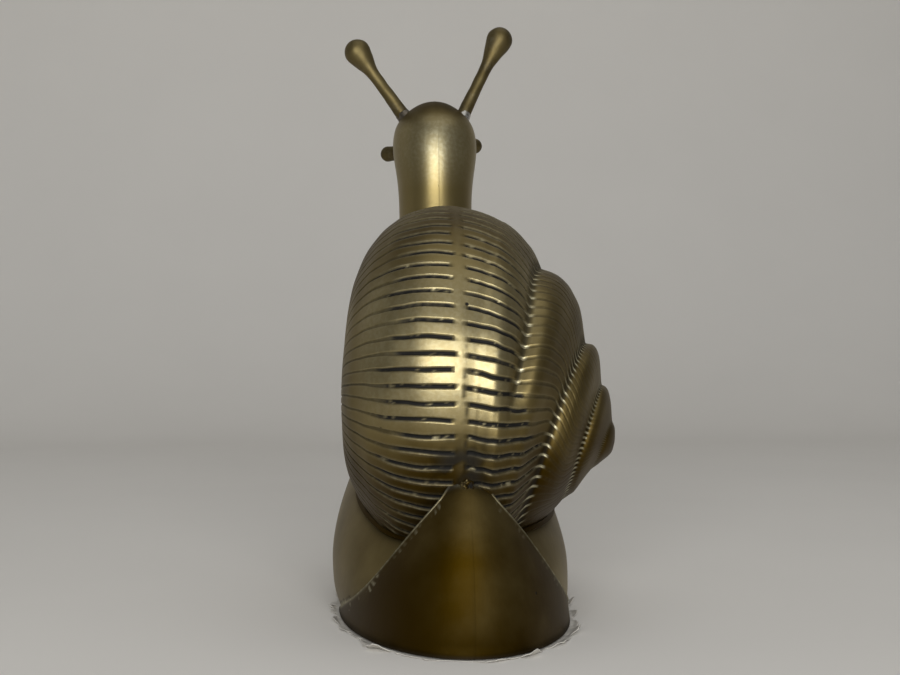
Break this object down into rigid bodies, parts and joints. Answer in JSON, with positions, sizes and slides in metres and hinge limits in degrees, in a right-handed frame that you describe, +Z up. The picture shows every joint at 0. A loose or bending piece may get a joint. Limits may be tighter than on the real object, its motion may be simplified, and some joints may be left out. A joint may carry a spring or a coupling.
{
  "type": "snail ornament",
  "caption": "Free-standing hollow cast brass snail with a coiled grooved shell, upturned tail, raised head and ball-tipped tentacles.",
  "frame": {"origin": "on the surface that the snail stands on, under the middle of the shell, on the plane between the two body castings", "axes": "+Z up, +Y towards the head, +X towards the spire of the shell"},
  "size_m": [0.1208, 0.2257, 0.2687],
  "materials": {
    "patinated_brass": "hand-polished casting with olive-brown patina, black in the grooves",
    "seam_brass": "filed braze, a little yellower than the castings",
    "silver_solder": "bright silver solder, smeared and lumpy",
    "torn_film": "crumpled cloudy film with torn edges"
  },
  "bodies": {
    "root": {"body_left": "patinated_brass", "body_right": "patinated_brass", "shell_left": "patinated_brass", "shell_right": "patinated_brass", "tentacle_left": "patinated_brass", "tentacle_right": "patinated_brass", "feeler_left": "patinated_brass", "feeler_right": "patinated_brass", "body_seam": "seam_brass", "shell_seam": "seam_brass", "shell_seat": "seam_brass", "tail_braze": "seam_brass", "tentacle_collar_left": "silver_solder", "tentacle_collar_right": "silver_solder", "feeler_collar_left": "silver_solder", "feeler_collar_right": "silver_solder", "base_liner": "torn_film"}
  },
  "joints": []
}
